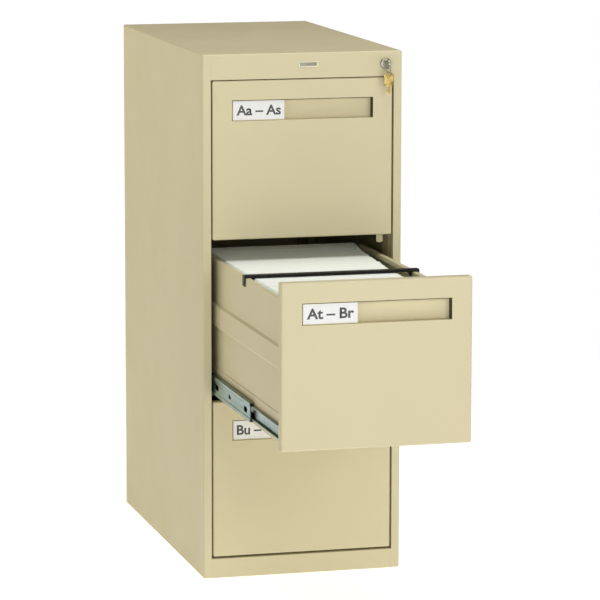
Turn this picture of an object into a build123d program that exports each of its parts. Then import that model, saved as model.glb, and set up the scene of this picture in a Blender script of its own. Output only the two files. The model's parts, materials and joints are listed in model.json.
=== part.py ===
from build123d import *
import os

os.makedirs("parts", exist_ok=True)

# A three-drawer vertical filing cabinet, letter width, in millimetres.
# The origin is the centre of the cabinet's footprint on the floor. +X is to the right of a person who
# faces the drawers, +Y runs to the back and +Z is up. The middle drawer is modelled pulled out.

# ---- the cabinet ----
cabinet_width = 381.0
cabinet_depth = 686.0
cabinet_height = 984.0
sheet = 0.9
bend = 2.5
seam = 0.15
flange_width = 15.5
lip_depth = 18.0
toe_rail_height = 37.2
header_height = 47.3
back_return = 12.0
back_field_margin = 42.0
back_field_depth = 2.5
back_field_corner = 20.0

# ---- the drawers ----
drawer_bottoms = {"bottom": 41.0, "middle": 340.5, "top": 640.0}
drawer_openings = {"bottom": 0.0, "middle": 500.0, "top": 0.0}
mid_share = 0.6
front_width = 344.0
front_height = 295.0
front_depth = 19.5
front_bend = 3.0
tray_width = 325.0
tray_bottom = 4.5
tray_flange_top = 57.5
side_top = 259.5
band_low = 135.0
band_high = 180.0
band_relief = 4.0
tray_back_top = 205.0
tray_back = 318.0

# ---- the finger pull and its label ----
pull_width = 270.0
pull_height = 38.5
pull_below_top = 36.3
pull_depth = 16.5
pull_sheet = 0.8
pull_hollow_above = 9.0
pull_rim = 8.0
pull_corner = 0.8
label_width = 97.0
label_gap = 0.6
label_sheet = 0.5

# ---- the ball-bearing slides ----
slide_centre = 27.5
slide_front = -320.0
slide_back = 316.0
slide_sheet = 1.2
outer_height = 45.0
outer_depth = 11.6
mid_height = 36.0
mid_depth = 6.9
mid_stand_off = 4.5
mid_race_height = 10.5
mid_race_bulge = 1.1
inner_height = 26.0
inner_depth = 5.9
bumper_length = 16.0
bumper_nose = 1.5
screw_head_radius = 4.0
screw_radius = 2.4
screw_clearance = 0.2

# ---- the posts behind the flanges ----
post_depth = 40.0
front_post_start = -311.0
rear_post_start = 271.0
post_slot_pitch = 48.0
post_slot_count = 19
post_slot_length = 14.0
post_slot_height = 5.0

# ---- the crossbar over each drawer ----
crossbar_behind_front = 300.0
crossbar_width = 16.0
crossbar_thickness = 4.8
crossbar_half_length = 163.8

# ---- the lock ----
lock_x = 158.5
lock_z = 960.5
lock_hole_radius = 9.5
barrel_radius = 9.3
plug_radius = 6.2
plug_clearance = 0.05
crank_radius = 10.0
crank_pin_radius = 2.0
bar_plate = (-318.5, -317.0)
bar_head_half = 10.5
hook_x = (149.5, 162.0)
hook_low = 281.5
hook_arm_low = 295.5
hook_arm_high = 302.0
strike_low = 266.0
strike_high = 279.0
strike_reach = 29.7
bar_guide_heights = (450.0, 750.0, 925.0)

# ---- the keys and their ring ----
key_thickness = 2.0
key_hole_radius = 3.0
bow_radius = 9.0
bow_hole_offset = 4.7
bow_distance = 17.0
key_shoulder = (9.0, 12.0)
key_blade = 20.0
spare_key_shoulder = (17.0, 17.0)
spare_key_blade = 16.5
ring_radius = 7.0
ring_wire = 0.75
ring_turn = 40.0
spare_key_turn = -10.0
wire_seat = 1.7

half_width = cabinet_width / 2
front = -cabinet_depth / 2
back = cabinet_depth / 2
opening_x = half_width - flange_width
tray_x = tray_width / 2
front_x = front_width / 2
header_bottom = cabinet_height - header_height
front_back = front + front_depth
tray_front = front_back + sheet
bow_y = front - bow_distance
bow_hole_y = bow_y - bow_hole_offset
ring_z = lock_z - wire_seat - ring_radius
spare_hole_z = ring_z - ring_radius - wire_seat


# ---- helpers ----
def block(x_range, y_range, z_range):
    """A box between a low and a high value on each axis."""
    corner = (x_range[0], y_range[0], z_range[0])
    size = (x_range[1] - x_range[0], y_range[1] - y_range[0], z_range[1] - z_range[0])
    return Pos(*corner) * Box(*size, align=(Align.MIN, Align.MIN, Align.MIN))


def rod(x, z, y_range, radius):
    """A cylinder whose axis runs front to back."""
    length = y_range[1] - y_range[0]
    return Pos(x, (y_range[0] + y_range[1]) / 2, z) * Rot(90, 0, 0) * Cylinder(radius, length)


def cross_rod(y, z, x_range, radius):
    """A cylinder whose axis runs left to right."""
    length = x_range[1] - x_range[0]
    return Pos((x_range[0] + x_range[1]) / 2, y, z) * Rot(0, 90, 0) * Cylinder(radius, length)


def rounded_block(x_range, y_range, z_range, radius):
    """A box whose four front-to-back edges are rounded."""
    solid = block(x_range, y_range, z_range)
    return fillet(solid.edges().filter_by(Axis.Y), radius)


def open_pan(x_range, y_range, z_range, open_axis, open_high, radius):
    """A pressed pan: five walls of sheet with rounded outer bends, open towards one side."""
    ranges = [list(x_range), list(y_range), list(z_range)]
    outer = block(*ranges)
    axis_number = (Axis.X, Axis.Y, Axis.Z).index(open_axis)
    pick = -1 if open_high else 0
    mouth = outer.faces().sort_by(open_axis)[pick]
    outer = fillet(outer.edges() - mouth.edges(), radius)
    hollow = [[low + sheet, high - sheet] for low, high in ranges]
    hollow[axis_number][pick] = ranges[axis_number][pick] + (sheet if open_high else -sheet)
    inner = block(*hollow)
    floor_edges = inner.edges() - inner.faces().sort_by(open_axis)[pick].edges()
    inner = fillet(floor_edges, radius - sheet)
    return outer - inner


def folded_sheet(points, radius, thickness, side):
    """The section of a sheet folded along a line of points; the thickness is added on one side."""
    line = FilletPolyline(*points, radius=radius)
    return make_face(offset(line, amount=thickness, side=side))


def run_back(section, y_range):
    """A section drawn in X and Z, made into a solid from the first Y to the second."""
    return extrude(Plane.XZ.offset(-y_range[1]) * section, y_range[1] - y_range[0])


def mirrored(shape):
    """The same shape on the other side of the cabinet."""
    return mirror(shape, about=Plane.YZ)


def save(name, *solids):
    """Writes one sub-part. Several solids are one group of like pieces."""
    shape = solids[0] if len(solids) == 1 else Compound(children=list(solids))
    export_step(shape, f"parts/{name}.step")


# ---- case ----
def side_panel():
    """The left side: a pan whose flanges wrap round to the front, top, back and floor."""
    height = (0, cabinet_height)
    panel = open_pan((-half_width, -opening_x), (front, back), height, Axis.X, True, bend)
    lip_height = (toe_rail_height, header_bottom)
    lip = block((-opening_x - sheet, -opening_x), (front, front + lip_depth), lip_height)
    lip = fillet(lip.edges().filter_by(Axis.Z).group_by(Axis.Y)[0].sort_by(Axis.X)[-1], sheet / 2)
    corner_cut = block((-opening_x - sheet, -opening_x), (front, front + sheet), lip_height)
    return panel - corner_cut + lip


def top_panel():
    """The top sheet with the header folded down from it, a lip under the header and a rear flange."""
    width = (-opening_x + seam, opening_x - seam)
    panel = block(width, (front, back), (header_bottom, cabinet_height))
    long_edges = panel.edges().filter_by(Axis.X)
    panel = fillet(long_edges.group_by(Axis.Z)[-1], bend)
    rear_flange_bottom = cabinet_height - flange_width
    under_top = cabinet_height - sheet
    inside = block(width, (front + lip_depth, back - sheet), (header_bottom - 1, under_top))
    header_room = block(width, (front + sheet, front + lip_depth), (header_bottom + sheet, under_top))
    below_rear = block(width, (back - sheet, back), (header_bottom - 1, rear_flange_bottom))
    hole = rod(lock_x, lock_z, (front - 1, front + 2), lock_hole_radius)
    return panel - inside - header_room - below_rear - hole


def back_panel():
    """The rear sheet between the side flanges, with a shallow pressed field that stiffens it."""
    top = cabinet_height - flange_width - seam
    width = (-opening_x + seam, opening_x - seam)
    panel = open_pan(width, (back - back_return, back), (sheet + seam, top), Axis.Y, False, bend)
    field_x = opening_x - back_field_margin
    field_z = (back_field_margin, top - back_field_margin)
    outer = rounded_block(
        (-field_x - sheet, field_x + sheet),
        (back - back_field_depth - sheet, back - sheet),
        (field_z[0] - sheet, field_z[1] + sheet),
        back_field_corner + sheet,
    )
    field_y = (back - back_field_depth, back + 1)
    recess = rounded_block((-field_x, field_x), field_y, field_z, back_field_corner)
    return panel + outer - recess


def base_pan():
    """The floor of the case, with an upstand just inside the back panel."""
    floor_end = back - sheet - seam - back_return
    upstand_y = (floor_end - 2, floor_end - 0.2)
    upstand_height = 11.0
    width = (-opening_x + seam, opening_x - seam)
    floor = block(width, (front + lip_depth + seam, floor_end), (0, sheet))
    return floor + block(width, upstand_y, (0, upstand_height))


def toe_rail():
    """The kick rail under the bottom drawer: a channel with a lip at its top and at the floor."""
    points = [
        (front + lip_depth, 0),
        (front, 0),
        (front, toe_rail_height),
        (front + lip_depth, toe_rail_height),
    ]
    section = folded_sheet(points, 1.5, sheet, Side.RIGHT)
    width = 2 * (opening_x - seam)
    return extrude(Plane.YZ.offset(-width / 2) * section, width)


def slide_heights():
    """The height of each drawer's slides above the floor."""
    return [bottom + slide_centre for bottom in drawer_bottoms.values()]


def post(start_y):
    """A slotted upright inside the left side panel, which carries the slides."""
    wall_x = -half_width + sheet + 0.2
    points = [
        (wall_x, start_y),
        (-opening_x, start_y),
        (-opening_x, start_y + post_depth),
        (wall_x, start_y + post_depth),
    ]
    section = folded_sheet(points, 1.8, slide_sheet, Side.LEFT)
    foot = sheet + 1.2
    upright = Pos(0, 0, foot) * extrude(section, cabinet_height - 2 * foot)
    middle_y = start_y + post_depth / 2
    web = (-opening_x - 2, -opening_x + 1)
    for height in slide_heights():
        upright -= cross_rod(middle_y, height, web, screw_radius + screw_clearance)
    half_length = post_slot_length / 2
    half_height = post_slot_height / 2
    slot_y = (middle_y - half_length, middle_y + half_length)
    for number in range(post_slot_count):
        slot_z = 60 + number * post_slot_pitch
        if min(abs(slot_z - height) for height in slide_heights()) > post_slot_length:
            upright -= block(web, slot_y, (slot_z - half_height, slot_z + half_height))
    return upright


def slide_screws():
    """A pan-head screw through every slide's outer member into each post."""
    screws = []
    web_face = -opening_x + slide_sheet
    for height in slide_heights():
        for start_y in (front_post_start, rear_post_start):
            middle_y = start_y + post_depth / 2
            head = cross_rod(middle_y, height, (web_face, web_face + 1.6), screw_head_radius)
            head = fillet(head.edges().sort_by(Axis.X)[-1], 0.7)
            screw = head + cross_rod(middle_y, height, (web_face - 7, web_face), screw_radius)
            screws += [screw, mirrored(screw)]
    return screws


def nameplate():
    """A small blank plate with a raised border on the header."""
    plate_x = (-7.5, 27.5)
    plate_z = (958.0, 967.0)
    plate = rounded_block(plate_x, (front - 1.1, front), plate_z, 1.5)
    face = rounded_block(
        (plate_x[0] + 0.9, plate_x[1] - 0.9),
        (front - 2, front - 0.7),
        (plate_z[0] + 0.9, plate_z[1] - 0.9),
        0.8,
    )
    return plate - face


# ---- lock ----
def lock_housing():
    """The barrel through the header and its domed collar."""
    collar = rod(lock_x, lock_z, (front - 4, front), 10.5)
    collar = fillet(collar.edges().sort_by(Axis.Y)[0], 2.2)
    body = collar + rod(lock_x, lock_z, (front, front + 21), barrel_radius)
    groove = rod(lock_x, lock_z, (front + 1.0, front + 2.4), barrel_radius + 1)
    groove -= rod(lock_x, lock_z, (front + 1.0, front + 2.4), barrel_radius - 1.3)
    bore = rod(lock_x, lock_z, (front - 5, front + 22), plug_radius + plug_clearance)
    return body - groove - bore


def lock_clip():
    """The horseshoe clip that grips the barrel's groove behind the header."""
    clip_z = (lock_z - 13, lock_z + 14)
    clip = rounded_block((lock_x - 14, lock_x + 14), (front + 1.1, front + 2.2), clip_z, 3)
    slot_radius = barrel_radius - 1.2
    clip -= rod(lock_x, lock_z, (front, front + 3), slot_radius)
    slot = (lock_x - slot_radius, lock_x + slot_radius)
    return clip - block(slot, (front, front + 3), (lock_z - 20, lock_z))


def lock_plug():
    """The part of the lock that turns with the key, with a keyway through it."""
    plug = rod(lock_x, lock_z, (front - 3.4, front + 22), plug_radius)
    plug = fillet(plug.edges().sort_by(Axis.Y)[0], 0.5)
    keyway = block((lock_x - 1.1, lock_x + 1.1), (front - 5, front + 20), (lock_z - 3.6, lock_z + 3.6))
    return plug - keyway


def lock_cam():
    """The arm on the rear of the plug, with a crank pin that moves the lock bar."""
    arm_y = (front + 22, front + 23.8)
    arm = rod(lock_x, lock_z, arm_y, plug_radius) + rod(lock_x + crank_radius, lock_z, arm_y, 4)
    arm += block((lock_x, lock_x + crank_radius), arm_y, (lock_z - 4, lock_z + 4))
    pin = rod(lock_x + crank_radius, lock_z, (arm_y[1], bar_plate[1] + 3), crank_pin_radius)
    return arm + pin


def lock_bar():
    """A flat bar that slides down behind the right flange and drops a hook behind every drawer front."""
    outer_x = half_width - 2
    bar_foot = 300.0
    strip = block((opening_x + 1.5, outer_x), bar_plate, (bar_foot, lock_z + bar_head_half))
    head_z = (lock_z - bar_head_half, lock_z + bar_head_half)
    head = block((lock_x - 5, outer_x), bar_plate, head_z)
    slot = rounded_block(
        (lock_x - 2.7, lock_x + crank_radius + 2.7),
        (bar_plate[0] - 1, bar_plate[1] + 1),
        (lock_z - 4.5, lock_z + 2.4),
        2,
    )
    bar = strip + head - slot
    for bottom in drawer_bottoms.values():
        arm_z = (bottom + hook_arm_low, bottom + hook_arm_high)
        bar += block((hook_x[0], opening_x + 2), bar_plate, arm_z)
        hook = block(hook_x, bar_plate, (bottom + hook_low, arm_z[1]))
        hook = fillet(hook.edges().filter_by(Axis.Y).group_by(Axis.Z)[0], 4)
        bar += hook
    return bar


def lock_bar_guides():
    """Slotted brackets on the right side wall that keep the bar upright."""
    guides = []
    half_height = 6.0
    guide_y = (bar_plate[0] - 2.5, bar_plate[1] + 2.5)
    gap_y = (bar_plate[0] - 0.4, bar_plate[1] + 0.4)
    for height in bar_guide_heights:
        guide_z = (height - half_height, height + half_height)
        gap_z = (guide_z[0] - 1, guide_z[1] + 1)
        guide = block((opening_x + 4, half_width - sheet), guide_y, guide_z)
        guides.append(guide - block((opening_x, half_width - 1.6), gap_y, gap_z))
    return guides


# ---- keys ----
def key_shape(shoulder, blade_length):
    """A key drawn in X and Z with its bow at the origin and its blade pointing up."""
    blade_half = 3.3
    width, length = shoulder
    outline = Circle(bow_radius)
    outline += Pos(0, length / 2) * Rectangle(width, length)
    outline += Pos(0, length + blade_length / 2) * Rectangle(2 * blade_half, blade_length)
    outline -= Pos(0, -bow_hole_offset) * Circle(key_hole_radius)
    for number, depth in enumerate((1.2, 2.0, 0.9, 1.6)):
        notch_y = length + 3 + number * 3.4
        outline -= Pos(blade_half, notch_y) * Rot(0, 0, 45) * Rectangle(1.4 * depth, 1.4 * depth)
    return extrude(Plane.XZ * outline, key_thickness / 2, both=True)


def key():
    """The key in the lock: its blade lies in the keyway and its bow stands on edge."""
    place = Pos(lock_x, bow_y, lock_z) * Rot(0, 90, 0) * Rot(-90, 0, 0)
    return place * key_shape(key_shoulder, key_blade)


def key_ring():
    """A wire ring through the bow of the key in the lock."""
    place = Pos(lock_x, bow_hole_y, ring_z) * Rot(0, 0, ring_turn) * Rot(90, 0, 0)
    return place * Torus(ring_radius, ring_wire)


def spare_key():
    """A second, broader key that hangs from the ring with its blade down."""
    place = Pos(lock_x, bow_hole_y, spare_hole_z - bow_hole_offset)
    turned = place * Rot(0, 0, spare_key_turn) * Rot(0, 180, 0)
    return turned * key_shape(spare_key_shoulder, spare_key_blade)


# ---- drawer front ----
def pull_window():
    """The height of the finger pull's window above the bottom of the drawer front."""
    high = front_height - pull_below_top
    return (high - pull_height, high)


def drawer_front():
    """The outer front: a pan with the window of the finger pull."""
    size = ((-front_x, front_x), (front, front_back), (0, front_height))
    panel = open_pan(*size, Axis.Y, True, front_bend)
    half = pull_width / 2
    return panel - rounded_block((-half, half), (front - 1, front + 2), pull_window(), pull_corner)


def pull_pan():
    """The pocket behind the window. Its hollow rises behind the face to give the fingers a hold."""
    low, high = pull_window()
    half = pull_width / 2
    rim_y = (front + sheet, front + sheet + pull_sheet)
    hollow_z = (low, high + pull_hollow_above)
    floor_y = front + pull_depth
    rim_half = half + pull_rim
    rim = block((-rim_half, rim_half), rim_y, (low - pull_rim, hollow_z[1] + pull_rim))
    rim -= rounded_block((-half, half), (front, floor_y), (low, high), pull_corner)
    pocket = rounded_block(
        (-half - pull_sheet, half + pull_sheet),
        (rim_y[1] - 0.1, floor_y + pull_sheet),
        (hollow_z[0] - pull_sheet, hollow_z[1] + pull_sheet),
        pull_corner + pull_sheet,
    )
    hollow = rounded_block((-half, half), (front, floor_y), hollow_z, pull_corner)
    hollow = fillet(hollow.faces().sort_by(Axis.Y)[-1].edges(), 0.7)
    behind_rim = hollow & block((-half, half), (rim_y[1], floor_y), hollow_z)
    window_room = rounded_block((-half, half), (front, floor_y - 2), (low, high), pull_corner)
    return rim + pocket - behind_rim - window_room


def label_places():
    """The card's left and right ends, and the holder's low and high edges."""
    low, high = pull_window()
    left = -pull_width / 2 + 2.5
    return (left, left + label_width), (low + label_gap, high - label_gap)


def label_holder():
    """A folded frame in the left end of the finger pull that grips the card at top and bottom."""
    (left, right), (low, high) = label_places()
    plate_y = front + 2.2
    lip_y = front + 1.2
    width = (left - 0.9, right + 0.9)
    holder = block(width, (plate_y, plate_y + label_sheet), (low, high))
    holder += block(width, (lip_y, plate_y), (low, low + label_sheet))
    holder += block(width, (lip_y, plate_y), (high - label_sheet, high))
    holder += block(width, (lip_y, lip_y + label_sheet), (low, low + 1.2))
    holder += block(width, (lip_y, lip_y + label_sheet), (high - 1.2, high))
    leg_y = (plate_y, front + pull_depth - 1.4)
    holder += block((right + 0.4, right + 0.9), leg_y, (low + 1, high - 1))
    holder += block((left - 0.9, left - 0.4), leg_y, (low + 1, high - 1))
    return holder


def label_card():
    """The card between the holder's plate and its lips."""
    (left, right), (low, high) = label_places()
    card_low = low + label_sheet + 0.1
    card_high = high - label_sheet - 0.1
    return block((left, right), (front + 1.75, front + 2.15), (card_low, card_high))


def inner_front():
    """The sheet that closes the drawer front, with flanges for the sides and a strike for the lock."""
    face_x = front_x - 0.5
    face = block((-face_x, face_x), (front_back, tray_front), (0.5, front_height - 0.5))
    flange_x = tray_x - 2 * sheet - seam
    for side in (-1, 1):
        inner = side * (flange_x - sheet)
        x_range = sorted((inner, side * flange_x))
        face += block(x_range, (tray_front, tray_front + 14), (tray_bottom + 2, side_top - 12))
    strike_end = front + strike_reach
    ledge_z = (strike_low, strike_low + slide_sheet)
    face += block(hook_x, (tray_front, strike_end), ledge_z)
    face += block(hook_x, (strike_end - slide_sheet, strike_end), (strike_low, strike_high))
    return face


# ---- drawer tray ----
def tray():
    """The bottom of the drawer, folded up at both sides into the flanges that carry the slides."""
    points = [
        (-tray_x, tray_flange_top),
        (-tray_x, tray_bottom),
        (tray_x, tray_bottom),
        (tray_x, tray_flange_top),
    ]
    return run_back(folded_sheet(points, 2.0, sheet, Side.LEFT), (tray_front, tray_back - sheet))


def drawer_side():
    """The left side of the drawer: a pressed band at mid height and a hem that file frames hang on."""
    face = -tray_x + sheet + 0.1
    band_x = face - band_relief
    points = [
        (face, tray_bottom + 2.4),
        (face, band_low),
        (band_x, band_low + band_relief),
        (band_x, band_high - band_relief),
        (face, band_high),
        (face, side_top),
        (face + 10, side_top),
        (face + 10, side_top - 8),
    ]
    return run_back(folded_sheet(points, 1.6, sheet, Side.RIGHT), (tray_front, tray_back - sheet))


def drawer_back():
    """The low back of the drawer, with flanges that run forward inside the sides."""
    back_z = (tray_bottom + sheet, tray_back_top)
    wall = block((-tray_x, tray_x), (tray_back - sheet, tray_back), back_z)
    flange_x = tray_x - 2 * sheet - seam
    for side in (-1, 1):
        x_range = sorted((side * (flange_x - sheet), side * flange_x))
        wall += block(x_range, (tray_back - 14, tray_back - sheet), back_z)
    return wall


def crossbar():
    """The bar over the drawer with a clip outside each side and a rib inside each hem."""
    middle_y = front + crossbar_behind_front
    bar_y = (middle_y - crossbar_width / 2, middle_y + crossbar_width / 2)
    low = side_top + 0.3
    high = low + crossbar_thickness
    end = crossbar_half_length
    bar = block((-end, end), bar_y, (low, high))
    clip = block((-end, -tray_x + 0.5), bar_y, (high - 20, high))
    rib_x = -tray_x + 12
    rib = make_face(Polyline((rib_x, low), (rib_x, low - 10), (rib_x + 9, low), close=True))
    rib = run_back(rib, (middle_y - 1.5, middle_y + 1.5))
    bar += clip + mirrored(clip) + rib + mirrored(rib)
    return fillet(bar.faces().sort_by(Axis.Z)[-1].edges().filter_by(Axis.X), 0.8)


# ---- slides ----
def channel(web_x, mouth_x, height, hook, race_x=None):
    """The section of a slide member: a web, two lips with hooks, and a bulge behind each ball race."""
    top = height / 2
    race_x = web_x if race_x is None else race_x
    upper = [(mouth_x, top - hook), (mouth_x, top), (race_x, top)]
    if race_x != web_x:
        jog = abs(race_x - web_x)
        upper += [(race_x, mid_race_height + jog), (web_x, mid_race_height)]
    points = upper + [(x, -z) for x, z in reversed(upper)]
    side = Side.LEFT if web_x < mouth_x else Side.RIGHT
    return folded_sheet(points, 1.7, slide_sheet, side)


def slide_outer():
    """The left cabinet member, screwed to both posts."""
    section = channel(-opening_x, -opening_x + outer_depth, outer_height, 3.6)
    member = run_back(section, (slide_front, slide_back))
    for start_y in (front_post_start, rear_post_start):
        middle_y = start_y + post_depth / 2
        web = (-opening_x - 1, -opening_x + 3)
        member -= cross_rod(middle_y, 0, web, screw_radius + screw_clearance)
    return member


def slot_cutter(x_range, y_range, half_height, corner):
    """A slot with rounded ends, to cut through a web from left to right."""
    solid = block(x_range, y_range, (-half_height, half_height))
    return fillet(solid.edges().filter_by(Axis.X), corner)


def slide_mid():
    """The left middle member, with the slots and holes punched in its web."""
    mid_front = slide_front + 3
    web_x = -opening_x + mid_stand_off
    section = channel(web_x, web_x + mid_depth, mid_height, 3.0, web_x - mid_race_bulge)
    member = run_back(section, (mid_front, slide_back - 8))
    web = (web_x - 3, web_x + 3)
    for slot_start, slot_end, half_height in ((22, 46, 5.0), (144, 160, 3.6), (238, 266, 5.0)):
        slot_y = (mid_front + slot_start, mid_front + slot_end)
        member -= slot_cutter(web, slot_y, half_height, 2.5)
    for hole_y in range(330, 600, 90):
        member -= cross_rod(mid_front + hole_y, 0, web, 3)
    return member


def slide_bumper():
    """The plastic retainer in the front end of the left middle member."""
    mid_front = slide_front + 3
    web_x = -opening_x + mid_stand_off
    inside_x = web_x + slide_sheet + 0.1
    mouth_x = inside_x + 4.2
    pads_z = mid_height / 2 - slide_sheet - 0.1
    body_y = (mid_front - bumper_nose, mid_front + bumper_length)
    body = rounded_block((inside_x, mouth_x), body_y, (-pads_z, pads_z), 0.7)
    inner_room = inner_height / 2 + 0.4
    passage_y = (body_y[0] - 1, body_y[1] + 1)
    return body - block((inside_x + 0.5, mouth_x + 1), passage_y, (-inner_room, inner_room))


def slide_inner():
    """The left drawer member, fixed to the tray's flange."""
    section = channel(-tray_x, -tray_x - inner_depth, inner_height, 2.6)
    return run_back(section, (slide_front, slide_back))


# ---- assembly ----
def both_sides(make_piece, move):
    """The left piece and its mirror image, both moved to their drawer."""
    piece = make_piece()
    return [move * piece, move * mirrored(piece)]


save("side_panel_left", side_panel())
save("side_panel_right", mirrored(side_panel()))
save("top_panel", top_panel())
save("back_panel", back_panel())
save("base_pan", base_pan())
save("toe_rail", toe_rail())
for post_name, post_y in (("front", front_post_start), ("rear", rear_post_start)):
    save(f"{post_name}_post_left", post(post_y))
    save(f"{post_name}_post_right", mirrored(post(post_y)))
save("slide_screws", *slide_screws())
save("nameplate", nameplate())
save("lock_housing", lock_housing())
save("lock_clip", lock_clip())
save("lock_plug", lock_plug())
save("lock_cam", lock_cam())
save("lock_bar", lock_bar())
save("lock_bar_guides", *lock_bar_guides())
save("key", key())
save("key_ring", key_ring())
save("spare_key", spare_key())

drawer_pieces = {
    "front": drawer_front,
    "pull_pan": pull_pan,
    "label_holder": label_holder,
    "label_card": label_card,
    "inner_front": inner_front,
    "tray": tray,
    "back": drawer_back,
    "crossbar": crossbar,
}
for drawer, bottom_z in drawer_bottoms.items():
    opening = drawer_openings[drawer]
    place = Pos(0, -opening, bottom_z)
    slide_z = bottom_z + slide_centre
    for piece_name, make_piece in drawer_pieces.items():
        save(f"{drawer}_{piece_name}", place * make_piece())
    save(f"{drawer}_sides", *both_sides(drawer_side, place))
    save(f"{drawer}_slide_outer", *both_sides(slide_outer, Pos(0, 0, slide_z)))
    mid_place = Pos(0, -opening * mid_share, slide_z)
    save(f"{drawer}_slide_mid", *both_sides(slide_mid, mid_place))
    save(f"{drawer}_slide_bumpers", *both_sides(slide_bumper, mid_place))
    save(f"{drawer}_slide_inner", *both_sides(slide_inner, Pos(0, -opening, slide_z)))
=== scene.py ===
import json
import math
import random

import bmesh
import bpy
from mathutils import Matrix, Vector


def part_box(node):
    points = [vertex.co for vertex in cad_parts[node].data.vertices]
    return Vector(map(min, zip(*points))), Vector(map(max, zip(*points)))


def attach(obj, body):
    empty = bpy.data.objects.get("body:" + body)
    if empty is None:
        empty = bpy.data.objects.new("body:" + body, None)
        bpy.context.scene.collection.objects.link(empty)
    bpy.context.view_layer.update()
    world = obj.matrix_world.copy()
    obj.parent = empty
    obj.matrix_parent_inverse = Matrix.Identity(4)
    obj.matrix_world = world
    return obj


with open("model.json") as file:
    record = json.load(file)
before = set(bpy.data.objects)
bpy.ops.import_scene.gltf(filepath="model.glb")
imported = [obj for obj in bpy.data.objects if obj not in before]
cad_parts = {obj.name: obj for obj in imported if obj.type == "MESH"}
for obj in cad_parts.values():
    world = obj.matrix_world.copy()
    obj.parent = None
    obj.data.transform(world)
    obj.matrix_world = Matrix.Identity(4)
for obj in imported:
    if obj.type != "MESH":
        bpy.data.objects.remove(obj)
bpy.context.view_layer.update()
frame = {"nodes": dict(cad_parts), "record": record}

MM = 0.001
DRAWERS = ("bottom", "middle", "top")
INDEX_RANGES = ("Bu – Cz", "At – Br", "Aa – As")

PUTTY = (0.615, 0.552, 0.353)
PAPER_WHITE = (0.90, 0.93, 0.86)
PAPER_GREY = (0.66, 0.68, 0.58)
FLOOR_NEAR = (0.86, 0.86, 0.86)
FLOOR_GLOW_NEAR = (0.70, 0.70, 0.70)
FLOOR_GLOW_FAR = (1.02, 1.02, 1.02)
BLACK = (0.0, 0.0, 0.0)


# ---- materials ----
def add_node(tree, kind, inputs=None, **settings):
    """A node with its settings made and its inputs linked or set."""
    node = tree.nodes.new(kind)
    for name, value in settings.items():
        setattr(node, name, value)
    for socket, value in (inputs or {}).items():
        if isinstance(value, bpy.types.NodeSocket):
            tree.links.new(value, node.inputs[socket])
        else:
            node.inputs[socket].default_value = value
    return node


def noise(tree, scale, detail=2.0, stretch=None):
    """Noise in the object's own space, in cycles per metre. A low stretch pulls it out along that axis."""
    place = add_node(tree, "ShaderNodeTexCoord").outputs["Object"]
    if stretch:
        place = add_node(tree, "ShaderNodeMapping", {"Vector": place, "Scale": stretch}).outputs[0]
    settings = {"Vector": place, "Scale": scale, "Detail": detail}
    return add_node(tree, "ShaderNodeTexNoise", settings).outputs[0]


def spread(tree, value, low, high, start=0.3, end=0.7):
    """The value remapped so that start to end becomes low to high."""
    inputs = {"Value": value, "From Min": start, "From Max": end, "To Min": low, "To Max": high}
    return add_node(tree, "ShaderNodeMapRange", inputs).outputs[0]


def mix(tree, factor, first, second):
    """A blend of two colours. The factor is a socket, and each colour is a socket or three numbers."""
    factor_in, first_in, second_in, colour_out = 0, 6, 7, 2
    node = add_node(tree, "ShaderNodeMix", {factor_in: factor}, data_type="RGBA")
    for index, value in ((first_in, first), (second_in, second)):
        if isinstance(value, bpy.types.NodeSocket):
            tree.links.new(value, node.inputs[index])
        else:
            node.inputs[index].default_value = (*value, 1)
    return node.outputs[colour_out]


def relief(tree, height, strength, depth, below=None):
    """A bump of a given depth in metres, on top of another one."""
    inputs = {"Height": height, "Strength": strength, "Distance": depth}
    if below is not None:
        inputs["Normal"] = below
    return add_node(tree, "ShaderNodeBump", inputs).outputs[0]


def scaled(colour, factor):
    """The colour made lighter or darker."""
    return tuple(channel * factor for channel in colour)


def new_material(name, **constants):
    """A material, its node tree and its main shader with the constants set."""
    made = bpy.data.materials.new(name)
    made.use_nodes = True
    shader = made.node_tree.nodes["Principled BSDF"]
    for socket, value in constants.items():
        shader.inputs[socket.replace("_", " ")].default_value = value
    return made, made.node_tree, shader


def connect(tree, shader, colour, roughness, normal):
    """Links the three things that every material varies."""
    tree.links.new(colour, shader.inputs["Base Color"])
    tree.links.new(roughness, shader.inputs["Roughness"])
    tree.links.new(normal, shader.inputs["Normal"])


def powder_coat(name, colour):
    """Satin putty powder coat: orange peel, a faint drift of tone and fine specks."""
    made, tree, shader = new_material(name, Specular_IOR_Level=0.28)
    drift = spread(tree, noise(tree, 2.3, 3.0), 0.0, 1.0)
    body = mix(tree, drift, scaled(colour, 0.975), scaled(colour, 1.02))
    specks = spread(tree, noise(tree, 900.0, 1.0), 0.0, 0.35, 0.62, 0.8)
    body = mix(tree, specks, body, scaled(colour, 0.8))
    roughness = spread(tree, noise(tree, 14.0, 4.0), 0.44, 0.54)
    peel = relief(tree, noise(tree, 420.0, 2.0), 0.10, 0.0004)
    peel = relief(tree, noise(tree, 1500.0, 1.0), 0.05, 0.0001, peel)
    connect(tree, shader, body, roughness, peel)
    return made


def zinc(name, cool, warm, along=(1.0, 0.03, 1.0)):
    """Bright zinc plate on drawn steel: a cool and a warm tint in clouds, with fine lines along it."""
    made, tree, shader = new_material(name, Metallic=1.0)
    clouds = spread(tree, noise(tree, 40.0, 4.0), 0.0, 1.0, 0.35, 0.65)
    body = mix(tree, clouds, cool, warm)
    lines = noise(tree, 900.0, 3.0, along)
    body = mix(tree, spread(tree, lines, 0.0, 0.45), body, scaled(cool, 0.6))
    roughness = spread(tree, noise(tree, 120.0, 3.0, along), 0.22, 0.42)
    connect(tree, shader, body, roughness, relief(tree, lines, 0.25, 0.0002))
    return made


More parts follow.
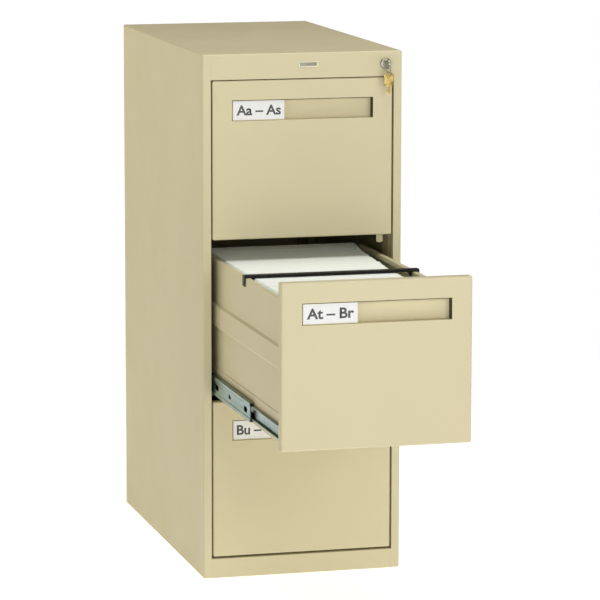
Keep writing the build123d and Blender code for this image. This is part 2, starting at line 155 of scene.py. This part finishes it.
def satin_plastic(name, colour, rough=0.42):
    """Moulded plastic or satin paint: a fine even grain, with paler and rougher places."""
    made, tree, shader = new_material(name, Specular_IOR_Level=0.22)
    rubbed = spread(tree, noise(tree, 35.0, 3.0), 0.0, 1.0)
    body = mix(tree, rubbed, colour, scaled(colour, 1.8))
    roughness = spread(tree, noise(tree, 60.0, 3.0), rough - 0.08, rough + 0.12)
    connect(tree, shader, body, roughness, relief(tree, noise(tree, 1100.0, 2.0), 0.25, 0.0002))
    return made


def worn_metal(name, bright, dull, low, high, along=(1.0, 1.0, 1.0)):
    """Plated or bare metal: patches of two tones, fine scratches, and roughness from low to high."""
    made, tree, shader = new_material(name, Metallic=1.0)
    patches = spread(tree, noise(tree, 160.0, 5.0), 0.0, 1.0, 0.38, 0.68)
    body = mix(tree, patches, bright, dull)
    scratches = noise(tree, 700.0, 4.0, along)
    roughness = spread(tree, noise(tree, 300.0, 4.0, along), low, high)
    connect(tree, shader, body, roughness, relief(tree, scratches, 0.2, 0.00015))
    return made


def card_stock(name, colour):
    """Uncoated white card: short fibres and a barely uneven tone."""
    made, tree, shader = new_material(name, Specular_IOR_Level=0.25)
    fibres = noise(tree, 1600.0, 4.0, (1.0, 1.0, 0.35))
    tone = spread(tree, noise(tree, 70.0, 3.0), 0.0, 1.0)
    body = mix(tree, tone, colour, scaled(colour, 0.96))
    body = mix(tree, spread(tree, fibres, 0.0, 0.25, 0.45, 0.8), body, scaled(colour, 0.86))
    roughness = spread(tree, fibres, 0.72, 0.88)
    connect(tree, shader, body, roughness, relief(tree, fibres, 0.3, 0.0001))
    return made


def file_paper(name):
    """Packed sheets: each sheet has its own tone from white to grey-green, and fine fibre on its faces."""
    made, tree, shader = new_material(name, Specular_IOR_Level=0.2)
    own = add_node(tree, "ShaderNodeAttribute", attribute_name="tone").outputs["Fac"]
    body = mix(tree, own, PAPER_WHITE, PAPER_GREY)
    grain = noise(tree, 1300.0, 3.0)
    body = mix(tree, spread(tree, grain, 0.0, 0.2, 0.45, 0.8), body, scaled(PAPER_GREY, 0.9))
    roughness = spread(tree, grain, 0.75, 0.9)
    connect(tree, shader, body, roughness, relief(tree, grain, 0.25, 0.0001))
    return made


def printed_ink(name, colour):
    """Dark grey toner, very slightly patchy."""
    made, tree, shader = new_material(name, Specular_IOR_Level=0.3)
    patch = noise(tree, 2200.0, 3.0)
    body = mix(tree, spread(tree, patch, 0.0, 1.0, 0.4, 0.75), colour, scaled(colour, 1.7))
    roughness = spread(tree, patch, 0.5, 0.7)
    connect(tree, shader, body, roughness, relief(tree, patch, 0.2, 0.00005))
    return made


# painted light: the finger pulls' pans get the putty coat made 10% lighter, to offset the shade in their
# recesses
pull_coat_painted_lighter = powder_coat("pull_coat_painted_lighter", scaled(PUTTY, 1.1))
slot_materials = {
    "case_paint": powder_coat("case_paint", PUTTY),
    "slide_steel": zinc("slide_steel", (0.17, 0.28, 0.30), (0.29, 0.36, 0.30)),
    "black_plastic": satin_plastic("black_plastic", (0.006, 0.006, 0.005), 0.5),
    "nameplate_metal": worn_metal(
        "nameplate_metal", (0.72, 0.70, 0.62), (0.52, 0.50, 0.43), 0.34, 0.50, (0.05, 1.0, 1.0)
    ),
    "lock_chrome": worn_metal("lock_chrome", (0.40, 0.385, 0.32), (0.27, 0.26, 0.20), 0.30, 0.44),
    "key_nickel": worn_metal("key_nickel", (0.40, 0.38, 0.28), (0.27, 0.25, 0.17), 0.26, 0.44),
    "key_brass": worn_metal("key_brass", (0.38, 0.28, 0.10), (0.13, 0.09, 0.025), 0.32, 0.52),
    "label_paper": card_stock("label_paper", (0.80, 0.80, 0.78)),
}
for part in frame["record"]["subparts"]:
    node = frame["nodes"][part["node"]]
    node.data.materials.clear()
    # painted light: the pull pans take the lighter coat
    inside_pull = part["node"].endswith("pull_pan")
    node.data.materials.append(pull_coat_painted_lighter if inside_pull else slot_materials[part["material_slot"]])


# ---- mesh helpers ----
def mesh_piece(name, mesh, material, body):
    """Turns a bmesh into a piece that rides on a CAD body."""
    data = bpy.data.meshes.new(name)
    mesh.to_mesh(data)
    mesh.free()
    data.materials.append(material)
    piece = bpy.data.objects.new(name, data)
    bpy.context.scene.collection.objects.link(piece)
    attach(piece, body)
    return piece


def smooth(piece):
    """Shades a round piece without facets."""
    for polygon in piece.data.polygons:
        polygon.use_smooth = True


# ---- the papers in the middle drawer ----
SHEET_COLUMNS = 14
SHEET_CORNER_CUT = 10.5 * MM
FOLDER_EVERY = 19
FOLDER_FIRST = 11
SIDE_TO_PAPERS = 12.0 * MM  # from the drawer side's outer face
RIGHT_GAP = 24.0 * MM  # left free at the right in the front half
RIGHT_GAP_CLOSES_BY = 20.0 * MM  # by the very back
RISE = 6.0 * MM  # of the last papers, behind the crossbar's reach
RISE_LENGTH = 43 * MM


def sheet_stations(left, right, top):
    """Stations across a sheet: x and the height of its top, with both top corners cut off."""
    inner_left, inner_right = left + SHEET_CORNER_CUT, right - SHEET_CORNER_CUT
    stations = [(left, top - SHEET_CORNER_CUT)]
    for number in range(SHEET_COLUMNS + 1):
        stations.append((inner_left + (inner_right - inner_left) * number / SHEET_COLUMNS, top))
    stations.append((right, top - SHEET_CORNER_CUT))
    return stations


def add_sheet(mesh, rings):
    """Closes the rings of four corners, taken across a sheet, into one solid."""
    for first, second in zip(rings, rings[1:]):
        for corner in range(4):
            following = (corner + 1) % 4
            mesh.faces.new((first[corner], first[following], second[following], second[corner]))
    mesh.faces.new(rings[0][::-1])
    mesh.faces.new(rings[-1])


def file_papers():
    """Tightly packed sheets and a few folders that stand in the open drawer, on edge."""
    draw = random.Random(11)
    sides_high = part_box("middle_sides")[1]
    half = sides_high.x - SIDE_TO_PAPERS
    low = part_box("middle_tray")[0].z + 1.3 * MM
    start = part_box("middle_front")[1].y + 3.0 * MM
    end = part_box("middle_back")[0].y - 1.5 * MM
    flat_top = sides_high.z - 1.3 * MM
    middle, rise_from = (start + end) / 2, end - RISE_LENGTH
    nearest, furthest = start - 1 * MM, end + 1 * MM
    mesh = bmesh.new()
    tone_layer = mesh.verts.layers.float.new("tone")
    place, number = start, 0
    while place < end - 3 * MM:
        folder = number % FOLDER_EVERY == FOLDER_FIRST
        thick = (0.8 if folder else draw.uniform(1.6, 3.4)) * MM
        gap = (0.25 if folder else draw.choice((0.02, 0.04, 0.06, 0.16))) * MM
        tone = draw.uniform(0.45, 0.8) if folder else 0.35 * draw.random() ** 2
        top = flat_top - draw.uniform(0.0, 0.6) * MM
        top += RISE * max(0.0, (place - rise_from) / (end - rise_from))
        left = -half + draw.uniform(0.0, 0.4) * MM
        far = max(0.0, (place - middle) / (end - middle))
        right = half - RIGHT_GAP + RIGHT_GAP_CLOSES_BY * far + draw.uniform(-2.0, 2.6) * MM
        right = min(right + (3.0 * MM if folder else 0.0), half)
        lean = 0.9 * MM * math.sin(place * 9.0)
        slope = 0.13 * thick
        rings = []
        for x, peak in sheet_stations(left, right, top):
            shift = lean + 0.25 * MM * math.sin(x * 21.0 + place * 12.0)
            corners = (
                (place, low),
                (place + shift, peak - slope),
                (place + thick + shift, peak + slope),
                (place + thick, low),
            )
            ring = [mesh.verts.new((x, min(max(y, nearest), furthest), z)) for y, z in corners]
            for vertex in ring:
                vertex[tone_layer] = tone
            rings.append(ring)
        add_sheet(mesh, rings)
        place += thick + gap
        number += 1
    bmesh.ops.recalc_face_normals(mesh, faces=mesh.faces)
    mesh_piece("middle_file_papers", mesh, file_paper("file_paper"), "middle_drawer")


# ---- painted shade strips in the finger pulls, and the nameplate's face ----
def add_box(mesh, low, high):
    """Adds a box between two corners."""
    made = bmesh.ops.create_cube(mesh, size=1.0)["verts"]
    low, high = Vector(low), Vector(high)
    size = high - low
    for vertex in made:
        vertex.co = (low + high) / 2 + vertex.co * size


def add_pull_shade_strips(drawer, shade_material):
    """Painted shade: a dark strip on the right end wall of the finger pull and a thin dark strip under its
    top edge, standing in for the shade in the recess.
    """
    rim, hollow = 8.0 * MM, 9.0 * MM  # the pan's flange, and the pocket's height above the window
    pan_low, pan_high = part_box(f"{drawer}_pull_pan")
    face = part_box(f"{drawer}_front")[0].y
    left, right = pan_low.x + rim, pan_high.x - rim
    low, high = pan_low.z + rim, pan_high.z - rim - hollow
    mesh = bmesh.new()
    # painted shade: the dark strip on the right end wall
    right_shade_low = (right - 0.8 * MM, face + 0.95 * MM, low + 0.2 * MM)
    add_box(mesh, right_shade_low, (right - 0.1 * MM, face + 15.8 * MM, high + 8.0 * MM))
    # painted shade: the thin dark strip under the window's top edge
    top_shade_low = (left + 0.3 * MM, face + 0.15 * MM, high - 1.2 * MM)
    add_box(mesh, top_shade_low, (right - 0.3 * MM, face + 0.85 * MM, high - 0.05 * MM))
    edges = mesh.edges[:]
    bmesh.ops.bevel(mesh, geom=edges, offset=0.15 * MM, segments=2, affect="EDGES", profile=0.5)
    mesh_piece(f"{drawer}_pull_painted_shade", mesh, shade_material, f"{drawer}_drawer")


def nameplate_face():
    """The blank grey-olive face set in the nameplate's raised border."""
    low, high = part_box("nameplate")
    border = 1.0 * MM
    mesh = bmesh.new()
    face_low = (low.x + border, low.y + 0.25 * MM, low.z + border)
    add_box(mesh, face_low, (high.x - border, low.y + 0.38 * MM, high.z - border))
    material = satin_plastic("nameplate_face", (0.22, 0.21, 0.145), 0.4)
    mesh_piece("nameplate_face", mesh, material, "cabinet")


# ---- index letters on the cards ----
LETTERS_LEFT = 0.065  # of the card's width
LETTERS_WIDTH = 0.87
LETTERS_BASE = 0.24  # of the card's height
LETTERS_HEIGHT = 0.53
LETTERS_BOLDER = 0.026  # of the type size
INK_FILM = 0.12 * MM


def flat_text(name, words):
    """The words as a flat mesh in its own plane."""
    text = bpy.data.curves.new(name, "FONT")
    text.body = words
    text.offset = LETTERS_BOLDER
    text.resolution_u = 4
    line = bpy.data.objects.new(name, text)
    bpy.context.scene.collection.objects.link(line)
    bpy.context.view_layer.update()
    evaluated = line.evaluated_get(bpy.context.evaluated_depsgraph_get())
    data = bpy.data.meshes.new_from_object(evaluated)
    bpy.data.objects.remove(line)
    flat = bmesh.new()
    flat.from_mesh(data)
    bpy.data.meshes.remove(data)
    return flat


def card_letters(drawer, words, ink):
    """Printed index letters: a raised film of ink on the card's face."""
    low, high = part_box(f"{drawer}_label_card")
    letters = flat_text(f"{drawer}_letters_line", words)
    xs = [vertex.co.x for vertex in letters.verts]
    ys = [vertex.co.y for vertex in letters.verts]
    bottom_y = min(0.0, min(ys))
    card_width, card_height = high.x - low.x, high.z - low.z
    scale_x = LETTERS_WIDTH * card_width / (max(xs) - min(xs))
    scale_z = LETTERS_HEIGHT * card_height / (max(ys) - bottom_y)
    left = low.x + LETTERS_LEFT * card_width
    base = low.z + LETTERS_BASE * card_height
    for vertex in letters.verts:
        x = left + (vertex.co.x - min(xs)) * scale_x
        z = base + (vertex.co.y - bottom_y) * scale_z
        vertex.co = Vector((x, low.y - INK_FILM, z))
    bmesh.ops.remove_doubles(letters, verts=letters.verts, dist=1e-6)
    made = bmesh.ops.extrude_face_region(letters, geom=letters.faces[:])
    moved = [part for part in made["geom"] if isinstance(part, bmesh.types.BMVert)]
    bmesh.ops.translate(letters, verts=moved, vec=(0, INK_FILM * 1.5, 0))
    bmesh.ops.recalc_face_normals(letters, faces=letters.faces)
    mesh_piece(f"{drawer}_card_letters", letters, ink, f"{drawer}_drawer")


# ---- the ball races in the slides ----
RETAINER_HALF_WIDTH = 1.4 * MM
RETAINER_THICKNESS = 0.5 * MM
BALL_PITCH = 12 * MM
# Height from the slide's centre, ball radius, distance in from the middle member's wall, and the race's
# two ends behind the member's front: first between outer and middle member, then between middle and inner.
RACES = (
    (19.65 * MM, 1.55 * MM, 4.5 * MM, 377 * MM, 607 * MM),
    (14.9 * MM, 1.75 * MM, 5.0 * MM, 24 * MM, 372 * MM),
)


def add_ball(mesh, centre, radius):
    """Adds a ball."""
    bmesh.ops.create_icosphere(mesh, subdivisions=2, radius=radius, matrix=Matrix.Translation(centre))


def add_strip(mesh, middle_x, y_range, z_middle):
    """Adds a flat retainer strip with rounded ends, which carries the balls of one race."""
    half_x, half_z = RETAINER_HALF_WIDTH, RETAINER_THICKNESS / 2
    outline = []
    steps = 6
    for end_y, turn in ((y_range[1] - half_x, 0.0), (y_range[0] + half_x, math.pi)):
        for step in range(steps + 1):
            angle = turn + math.pi * step / steps
            outline.append((middle_x + half_x * math.cos(angle), end_y + half_x * math.sin(angle)))
    top = [mesh.verts.new((x, y, z_middle + half_z)) for x, y in outline]
    under = [mesh.verts.new((x, y, z_middle - half_z)) for x, y in outline]
    mesh.faces.new(top)
    mesh.faces.new(under[::-1])
    for number in range(len(outline)):
        following = (number + 1) % len(outline)
        mesh.faces.new((top[number], under[number], under[following], top[following]))


def ball_races(drawer, material, cage_material):
    """The balls between the slide's three members, in retainers that go with the middle member."""
    mid_low, mid_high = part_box(f"{drawer}_slide_mid")
    centre_z = (mid_low.z + mid_high.z) / 2
    wall = -mid_low.x
    balls, cages = bmesh.new(), bmesh.new()
    for offset_z, radius, inset, first, last in RACES:
        y_range = (mid_low.y + first, mid_low.y + last)
        for side in (-1, 1):
            x = side * (wall - inset)
            for above in (-1, 1):
                z = centre_z + above * offset_z
                add_strip(cages, x, y_range, z)
                place = y_range[0] + 5 * MM
                while place < y_range[1] - 4 * MM:
                    add_ball(balls, (x, place, z), radius)
                    place += BALL_PITCH
    rides_on = f"{drawer}_slide_middles"
    smooth(mesh_piece(f"{drawer}_slide_balls", balls, material, rides_on))
    mesh_piece(f"{drawer}_ball_cages", cages, cage_material, rides_on)


ink = printed_ink("index_ink", (0.085, 0.085, 0.083))
# painted shade: the near-black plastic of the finger pulls' shade strips
pull_shade_plastic = satin_plastic("pull_painted_shade", (0.030, 0.026, 0.013), 0.55)
ball_steel = worn_metal("ball_steel", (0.75, 0.76, 0.76), (0.6, 0.6, 0.58), 0.08, 0.2)
file_papers()
nameplate_face()
for drawer, words in zip(DRAWERS, INDEX_RANGES):
    add_pull_shade_strips(drawer, pull_shade_plastic)
    card_letters(drawer, words, ink)
    ball_races(drawer, ball_steel, slot_materials["slide_steel"])


# ---- the studio ----
def floor_mesh():
    """A disc with a ring around it, wide enough to reach past every view."""
    sides, inner_radius, outer_radius = 40, 2.2, 60.0
    turns = [2 * math.pi * number / sides for number in range(sides)]
    mesh = bmesh.new()
    centre = mesh.verts.new((0, 0, 0))
    inner, outer = (
        [mesh.verts.new((radius * math.cos(turn), radius * math.sin(turn), 0)) for turn in turns]
        for radius in (inner_radius, outer_radius)
    )
    for number in range(sides):
        following = (number + 1) % sides
        mesh.faces.new((centre, inner[number], inner[following]))
        mesh.faces.new((inner[number], outer[number], outer[following], inner[following]))
    data = bpy.data.meshes.new("studio_floor")
    mesh.to_mesh(data)
    mesh.free()
    return data


def studio_floor():
    """A pale floor: matt near the cabinet, and lit evenly far away like a long paper sweep."""
    data = floor_mesh()
    floor = bpy.data.objects.new("studio_floor", data)
    bpy.context.scene.collection.objects.link(floor)
    made, tree, shader = new_material("studio_floor", Specular_IOR_Level=0.1)
    place = add_node(tree, "ShaderNodeTexCoord").outputs["Object"]
    distance = add_node(tree, "ShaderNodeVectorMath", {0: place}, operation="LENGTH").outputs["Value"]
    far = spread(tree, distance, 0.0, 1.0, 0.5, 2.6)
    grain = noise(tree, 30.0, 3.0)
    colour = mix(tree, far, FLOOR_NEAR, BLACK)
    connect(tree, shader, colour, spread(tree, grain, 0.8, 0.9), relief(tree, grain, 0.05, 0.0002))
    tree.links.new(mix(tree, far, FLOOR_GLOW_NEAR, FLOOR_GLOW_FAR), shader.inputs["Emission Color"])
    shader.inputs["Emission Strength"].default_value = 1.0
    data.materials.append(made)


def soft_box(name, place, target, size, power, colour=(1, 1, 1)):
    """A rectangular lamp that faces its target."""
    light = bpy.data.lights.new(name, "AREA")
    light.shape = "RECTANGLE"
    light.size, light.size_y = size
    light.energy = power
    light.color = colour
    lamp = bpy.data.objects.new(name, light)
    lamp.location = place
    lamp.rotation_euler = (Vector(target) - Vector(place)).to_track_quat("-Z", "Y").to_euler()
    bpy.context.scene.collection.objects.link(lamp)


studio_floor()
FRONTS = (0.0, -0.35, 0.55)
soft_box("front_centre", (0.3, -4.0, 1.35), FRONTS, (1.8, 1.6), 34)
soft_box("front_low", (-0.65, -4.2, 0.42), (0.0, -0.35, 0.5), (1.1, 0.7), 14)
soft_box("front_right", (1.65, -4.7, 2.1), FRONTS, (1.0, 1.0), 19)
soft_box("front_left", (-2.3, -4.2, 1.1), FRONTS, (1.2, 1.2), 9, (1.0, 0.95, 0.80))
soft_box("left_rear_strip", (-2.2, 2.2, 1.2), (0.0, -0.3, 0.8), (0.4, 1.6), 24, (1.0, 0.84, 0.40))
soft_box("overhead", (0.0, -0.7, 3.4), (0.0, -0.3, 0.9), (2.4, 2.4), 71)

scene = bpy.context.scene
scene.view_settings.view_transform = "Standard"
world = bpy.data.worlds.new("studio")
scene.world = world
world.use_nodes = True
background = world.node_tree.nodes["Background"]
background.inputs["Color"].default_value = (1.0, 1.0, 1.0, 1.0)
background.inputs["Strength"].default_value = 0.02

# ---- the camera, fitted to the case's edges in the photograph ----
LENS = 213.76
CAMERA_PLACE = (-1.7004, -6.6749, 1.5841)
YAW, PITCH, ROLL = (math.radians(angle) for angle in (14.989, 9.203, 0.091))
camera_data = bpy.data.cameras.new("camera")
camera_data.lens = LENS
camera_data.sensor_width = 36.0
camera_data.clip_end = 200.0
camera = bpy.data.objects.new("camera", camera_data)
camera.location = CAMERA_PLACE
level = Matrix.Rotation(-YAW, 3, "Z") @ Matrix.Rotation(math.pi / 2 - PITCH, 3, "X")
camera.rotation_euler = (level @ Matrix.Rotation(ROLL, 3, "Z")).to_euler()
scene.collection.objects.link(camera)
scene.camera = camera
